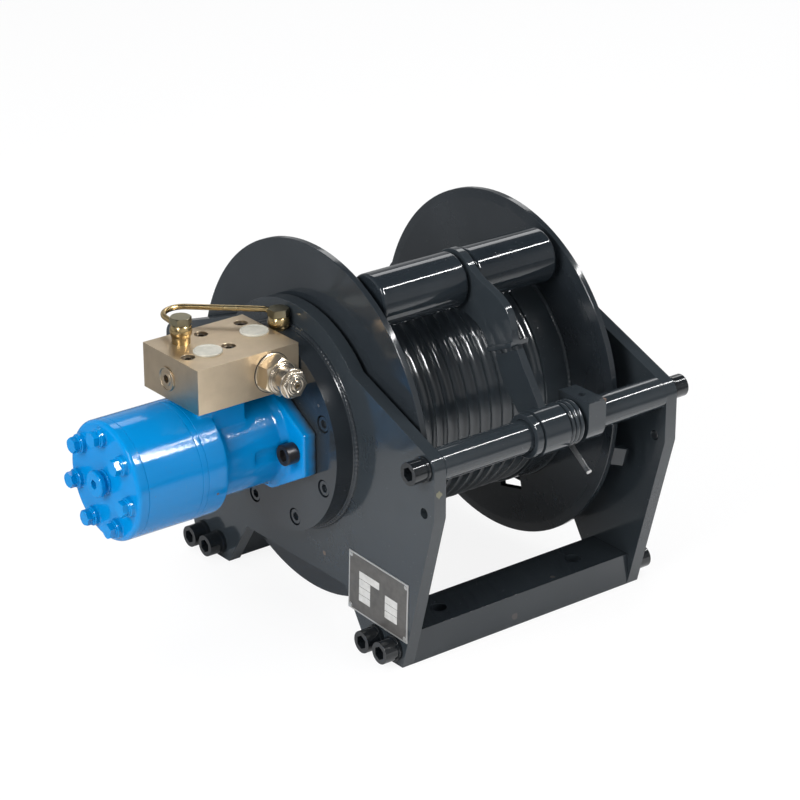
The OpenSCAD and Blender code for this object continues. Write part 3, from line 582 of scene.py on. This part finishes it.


# A thin black ring round the body's foot is a painted shadow: it stands for the dark gap under the
# hexagon.
gap_shade_ring = turned("relief_gap_shade", relief_spot, FORWARD, (
    (-0.001, 0.0214), (0.0003, 0.0214), (0.0005, 0.0210)))
dress(gap_shade_ring, black_oxide, "bright_plating", "frame")
body = hexagon("hexagon", relief_spot, FORWARD, 0.0012, 0.0178, 0.0208, clock(84))
foot = turned("foot", relief_spot, FORWARD, ((-0.001, 0.0205), (0.0010, 0.0205), (0.0014, 0.0200)))
body = join("relief_body", body, foot)
round_edges(body, 0.0005, segments=2)
dress(body, satin_bright, "bright_plating", "frame", "valve_cartridge")
collar = turned("collar", relief_spot, FORWARD, (
    (0.0170, 0.0168), (0.0186, 0.0168), (0.0192, 0.0162), (0.0192, 0.0154), (0.0204, 0.0154),
    (0.0209, 0.0148), (0.0209, 0.0128), (0.0345, 0.0128)))
lock = turned("lock", relief_spot, FORWARD, (
    (0.0335, 0.0140), (0.0342, 0.0155), (0.0347, 0.0159), (0.0362, 0.0159), (0.0369, 0.0153),
    (0.0370, 0.0130)))
nut = turned("nut", relief_spot, FORWARD, (
    (0.0366, 0.0152), (0.0402, 0.0152), (0.0411, 0.0138)), 6, clock(113))
tip = turned("tip", relief_spot, FORWARD, (
    (0.0405, 0.0112), (0.0420, 0.0110), (0.0425, 0.0104), (0.0425, 0.0086), (0.0433, 0.0082),
    (0.0433, 0.0068), (0.0427, 0.0064), (0.0427, 0.0054), (0.0440, 0.0053), (0.0444, 0.0048)))
for piece in (nut, tip):
    carve(piece, turned("socket", relief_spot, FORWARD, (
        (0.0372, 0.0032), (0.046, 0.0032)), 6, clock(20)))
relief = join("relief_screw", collar, lock, nut, tip)
round_edges(relief, 0.00025, segments=2)
dress(relief, bright, "bright_plating", "frame")


# Two pale plastic caps close the free ports until hoses are fitted. They are moulded, with a
# raised rim and a fine net on the top, and are pushed in by hand.
cap_plastic, place = new_material("cap_plastic")
net = place.node("ShaderNodeTexChecker", {"out": 1}, Vector=place, Scale=900.0)
tone = place.noise(160, 3).between(0.35, 0.65)
set_surface(cap_plastic, place, Base_Color=tone.mix((0.47, 0.455, 0.395), (0.39, 0.38, 0.33)),
            Roughness=0.5 + tone * 0.1, Normal=(net * 0.5 + tone).bump(0.30, 0.0002))
caps_low, caps_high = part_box("port_caps")
CAP_R = 0.015
cap = turned("cap_pattern", (0, 0, 0), (0, 0, 1), (
    (-0.001, 0.0146), (0.0002, 0.0148), (0.0013, 0.0150), (0.0020, 0.0147), (0.0024, 0.0140),
    (0.0023, 0.0132), (0.0019, 0.0128), (0.0020, 0.0062), (0.0023, 0.0056), (0.0024, 0.0030)))
round_edges(cap, 0.00015, segments=2)
cap_places = [Matrix.Translation((x, y, block_high[2])) for x, y in (
    (caps_low[0] + CAP_R, caps_low[1] + CAP_R), (caps_high[0] - CAP_R, caps_high[1] - CAP_R))]
for i, piece in enumerate(copies(cap, "port_cap", cap_places)):
    dress(piece, cap_plastic, "cap_white", "frame", *(["port_caps"] if i == 0 else []))


# A ring fitting stands on the valve block and one on the brake housing: a turned ring round a
# hollow screw. They are plated with yellow zinc, greyer on the screws' heads.
zinc, place = new_material("yellow_zinc")
tone = place.noise(70, 3).between(0.3, 0.7)
set_surface(zinc, place, Base_Color=tone.mix((0.60, 0.43, 0.20), (0.42, 0.34, 0.19)), Metallic=1.0,
            Roughness=0.20 + tone * 0.1, Normal=place.noise(700, 2).bump(0.10, 0.0002))
grey_zinc = plain_metal("grey_zinc", (0.40, 0.36, 0.24), (0.27, 0.25, 0.18), 0.24)
RING_R, RING_HALF, HEAD_H = 0.0115, 0.0065, 0.0085
ring_spots = []
belt = math.degrees(math.asin(RING_HALF / RING_R))
for node, rest, turn in (("block_fitting", block_high[2], 38.5),
                         ("brake_fitting", housing_high[2], 34)):
    low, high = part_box(node)
    spot = ((low[0] + high[0]) / 2, (low[1] + high[1]) / 2, high[2] - HEAD_H - RING_HALF)
    ring_spots.append(Vector(spot))
    corner = (math.cos(math.radians(turn)), math.sin(math.radians(turn)), 0)
    bulge = [math.radians(belt * step / 8) for step in range(-8, 9)]
    ball = [(RING_R * math.sin(lean), RING_R * math.cos(lean)) for lean in bulge]
    foot = max(rest - spot[2] - 0.0015, -RING_HALF - 0.010)
    ring = turned(node + "_ring", spot, (0, 0, 1), (
        (foot, 0.0096), (-RING_HALF - 0.0004, 0.0096), *ball, (RING_HALF + 0.0002, 0.0088),
        (RING_HALF + 0.0012, 0.0088)), 48)
    round_edges(ring, 0.0002, segments=2)
    dress(ring, zinc, "zinc_yellow", "frame", node)
    head = hexagon(node + "_head", spot, (0, 0, 1), RING_HALF + 0.0009, RING_HALF + HEAD_H,
                   RING_R, corner)
    round_edges(head, 0.00035, segments=2)
    dress(head, grey_zinc, "zinc_yellow", "frame")


# The brake pipe is a bent steel tube, plated as the rings are. It leaves the block's ring level,
# turns back round one wide bend, and dips through a short bend into the brake housing's ring.
def wire_along(name, route, radius):
    """A round wire or tube along a route."""
    path = bpy.data.curves.new(name, "CURVE")
    path.dimensions = "3D"
    path.bevel_depth = radius
    path.bevel_resolution = 6
    path.use_fill_caps = True
    line = path.splines.new("POLY")
    line.points.add(len(route) - 1)
    for point, at in zip(line.points, route):
        point.co = (*at, 1)
    piece = bpy.data.objects.new(name, path)
    scene.collection.objects.link(piece)
    activate(piece)
    bpy.ops.object.convert(target="MESH")
    bpy.ops.object.shade_smooth_by_angle(angle=math.radians(50))
    return bpy.context.active_object


PIPE_R, WIDE_BEND, PLUNGE_BEND, RISE = 0.003, 0.020, 0.012, 0.0155
OUT, BACK, PLUNGE = math.radians(84), math.radians(137.5), math.radians(55)
pipe_z = block_high[2] + RISE
block_ring, brake_ring = (spot.xy for spot in ring_spots)
out_way = Vector((math.cos(OUT), math.sin(OUT)))
back_way = Vector((math.cos(BACK), math.sin(BACK)))
corner = (brake_ring - block_ring).cross(back_way) / out_way.cross(back_way)
straight = corner - WIDE_BEND / math.tan((BACK - OUT) / 2)
bend_middle = block_ring + out_way * straight + Vector((out_way.y, -out_way.x)) * WIDE_BEND
pipe_route = [Vector((*block_ring, pipe_z))]
for i in range(25):
    way = OUT - (math.pi - BACK + OUT) * i / 24
    bend = bend_middle + Vector((-math.sin(way), math.cos(way))) * WIDE_BEND
    pipe_route.append(Vector((*bend, pipe_z)))
drop = pipe_z - ring_spots[1].z
slope = (drop - PLUNGE_BEND * (1 - math.cos(PLUNGE))) / math.sin(PLUNGE)
advance = PLUNGE_BEND * math.sin(PLUNGE) + slope * math.cos(PLUNGE)
for i in range(9):
    tilt = PLUNGE * i / 8
    bend = brake_ring + back_way * (advance - PLUNGE_BEND * math.sin(tilt))
    pipe_route.append(Vector((*bend, pipe_z - PLUNGE_BEND * (1 - math.cos(tilt)))))
pipe_route.append(ring_spots[1])
pipe = wire_along("bent_brake_pipe", pipe_route, PIPE_R)
dress(pipe, zinc, "zinc_yellow", "frame", "brake_pipe")


# The nameplate is a thin aluminium sheet on four rivets, printed dark but for a pale border and
# empty fields for the winch's data.
TAG_TILT = math.radians(2)
FIELD_ROWS = (0.27, 0.40, 0.535, 0.665, 0.787)
tag_low, tag_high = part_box("nameplate")
tag_middle = [(a + b) / 2 for a, b in zip(tag_low, tag_high)]
TAG_W, TAG_H = 0.098, 0.067
tag_print, place = new_material("tag_print")
local = place.node("ShaderNodeMapping", {"vector_type": "TEXTURE"}, Vector=place,
                   Location=tag_middle, Rotation=(TAG_TILT, 0, 0), Scale=(1, TAG_W, TAG_H))
_, across, upright = local.parts()
from_left = 0.5 - across
from_top = 0.5 - upright


def field(left, right, top, bottom):
    """1 inside one box of the nameplate, its sides as shares of the plate."""
    return (from_left > left) * (from_left < right) * (from_top > top) * (from_top < bottom)


fields = field(0.18, 0.52, FIELD_ROWS[0], FIELD_ROWS[1] - 0.008)
for top, bottom in zip(FIELD_ROWS[1:], FIELD_ROWS[2:]):
    fields = fields + field(0.18, 0.37, top, bottom - 0.008)
for top, bottom in ((0.41, 0.54), (0.54, 0.67), (0.67, 0.795)):
    fields = fields + field(0.62, 0.827, top, bottom - 0.008)
inside = field(0.018, 0.982, 0.026, 0.974)
for u in (0.04, 0.96):
    for v in (0.06, 0.94):
        centre = (from_left - u) * (TAG_W / TAG_H)
        near = centre * centre + (from_top - v) * (from_top - v)
        inside = inside * (near > 0.0016)
wear = place.noise(150, 4).between(0.30, 0.72)
printed = fields.mix(wear.mix((0.050, 0.048, 0.045), (0.085, 0.081, 0.076)),
                     wear.mix((0.50, 0.495, 0.475), (0.40, 0.395, 0.375)))
set_surface(tag_print, place, Base_Color=inside.mix((0.42, 0.42, 0.41), printed),
            Metallic=(1 - inside) * 0.6, Roughness=0.30 + wear * 0.15,
            Normal=(fields + place.noise(400, 2) * 0.3).bump(0.2, 0.0001))
finish_node("nameplate", tag_print, "plate_sheet", "frame", 0.0002)


# The far bearing housing is a plain turned flange, fixed on the right plate by its ring of
# screws. All of it is sprayed with the frame.
finish_node("bearing_housing", slate, "dark_paint", "frame", 0.0009)
finish_node("bearing_screws", slate, "painted_screws", "frame", 0.0006)


# The drum is a thick tube turned with rope grooves, welded between two flanges that are cut from
# plate. Paint is dusty and rough from the tool in the grooves. A cleat holds the rope's end.
barrel_paint = enamel("barrel_enamel", SLATE, SLATE_THIN, 0.13, grooved=True)
flange_paint = enamel("flange_enamel", (0.0140, 0.0180, 0.0220), (0.020, 0.0245, 0.029), 0.12)
for node in ("left_flange", "right_flange", "rope_anchor"):
    finish_node(node, flange_paint, "dark_paint", "drum", 0.0007, angle=8)
barrel_low, barrel_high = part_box("drum_barrel")
BARREL_R, BAND_RISE, BAND_W, GROOVE_DEPTH, GROOVE_PITCH = 0.124, 0.0025, 0.033, 0.0034, 0.0145
BORE_R, BORE_DEPTH, BAND_BREAK, STEPS = 0.06505, 0.034, 0.0006, 12
barrel_l = barrel_high[0] - barrel_low[0]
band_x, band_r = barrel_l - BAND_W, BARREL_R + BAND_RISE
grooves = int(band_x / GROOVE_PITCH)
first_crest = (band_x - grooves * GROOVE_PITCH) / 2
profile = [(BORE_DEPTH, BORE_R), (0, BORE_R), (0, BARREL_R)]
for i in range(grooves * STEPS + 1):
    crest = (0.5 + 0.5 * math.cos(i * math.tau / STEPS)) ** 2.4
    profile.append((first_crest + i * GROOVE_PITCH / STEPS, BARREL_R - GROOVE_DEPTH * (1 - crest)))
profile += [(band_x, BARREL_R), (band_x, band_r - BAND_BREAK), (band_x + BAND_BREAK, band_r),
            (barrel_l, band_r), (barrel_l, BORE_R), (barrel_l - BORE_DEPTH, BORE_R)]
barrel = turned("grooved_barrel", (barrel_low[0], 0, AXIS), (1, 0, 0), profile, 160)
activate(barrel)
bpy.ops.object.shade_smooth_by_angle(angle=math.radians(40))
dress(barrel, barrel_paint, "dark_paint", "drum", "drum_barrel")
band_outer_r = (barrel_high[1] - barrel_low[1]) / 2
for name, x, radius in (("left_drum_weld", barrel_low[0] + 0.001, band_outer_r - 0.0012),
                        ("right_drum_weld", barrel_high[0] - 0.001, band_outer_r)):
    weld_ring(name, x, radius, 0.0028, 160, barrel_paint, "drum")


# The rope presser swings on the tie rod between a thrust ring and a clamped collar. A torsion
# spring between hub and collar presses it down. Its arm is flame cut and welded to the hub.
collar_low, collar_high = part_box("spring_collar")
collar_paint = enamel("collar_enamel", SLATE, SLATE_THIN, 0.10, marks=(
    ((collar_high[0], collar_low[1] + 0.002, collar_high[2] - 0.001), 0.0030, (0.10, 0.05, 0.03)),))
finish_node("thrust_ring", slate, "dark_paint", "frame", 0.0012)
finish_node("spring_collar", collar_paint, "dark_paint", "frame", 0.0016)
rod_low, rod_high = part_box("tie_rod")
rod_y = (rod_low[1] + rod_high[1]) / 2
rod_z = (rod_low[2] + rod_high[2]) / 2
WIRE_R, COIL_GAP, PITCH, LEG_L, LEG_DIP, COIL_STEPS = 0.0029, 0.0012, 0.00592, 0.0513, 35, 40
coil_r = (rod_high[2] - rod_low[2]) / 2 + COIL_GAP + WIRE_R
coil_end = collar_low[0] - WIRE_R - 0.0002
turns = (coil_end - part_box("presser_spring")[0][0] - WIRE_R) / PITCH
leg_way = -around(LEG_DIP)


def on_coil(back):
    """The middle of the wire, some turns back from where the leg leaves the coil."""
    ray = around(LEG_DIP - 90 + back * 360)
    return Vector((coil_end - back * PITCH, rod_y, rod_z)) + ray * coil_r


spring_route = [on_coil(turns - i / COIL_STEPS) for i in range(int(turns * COIL_STEPS) + 1)]
spring_route += [on_coil(0) + leg_way * LEG_L * share for share in (0.0, 0.5, 1.0)]
spring = wire_along("torsion_spring", spring_route, WIRE_R)
# The leg is painted paler along its length, for its worn paint and as a painted highlight; its cut
# tip is worn bare.
spring_paint = enamel("spring_enamel", SLATE, SLATE_THIN, 0.12, marks=(
    (spring_route[-2], 0.024, (0.075, 0.078, 0.08)),
    (spring_route[-1], 0.0036, (0.42, 0.41, 0.40))))
dress(spring, spring_paint, "dark_paint", "frame", "presser_spring")
for node in ("arm_base", "presser_arm"):
    finish_node(node, slate, "dark_paint", "presser", 0.0013)


# The rollers are smooth turned tubes on a ground shaft through the arm's head. Their paint is
# the glossiest on the winch.
roller_gloss = enamel("roller_enamel", SLATE, (0.0115, 0.0155, 0.0195), 0.055, peel=0.35)
steel = plain_metal("ground_steel", (0.45, 0.45, 0.45), (0.38, 0.38, 0.38), 0.3)
finish_node("roller_shaft", steel, "bare_steel", "presser", 0.0005)
finish_node("left_roller", roller_gloss, "roller_paint", "roller_left", 0.0035, segments=5)
finish_node("right_roller", roller_gloss, "roller_paint", "roller_right", 0.0035, segments=5)
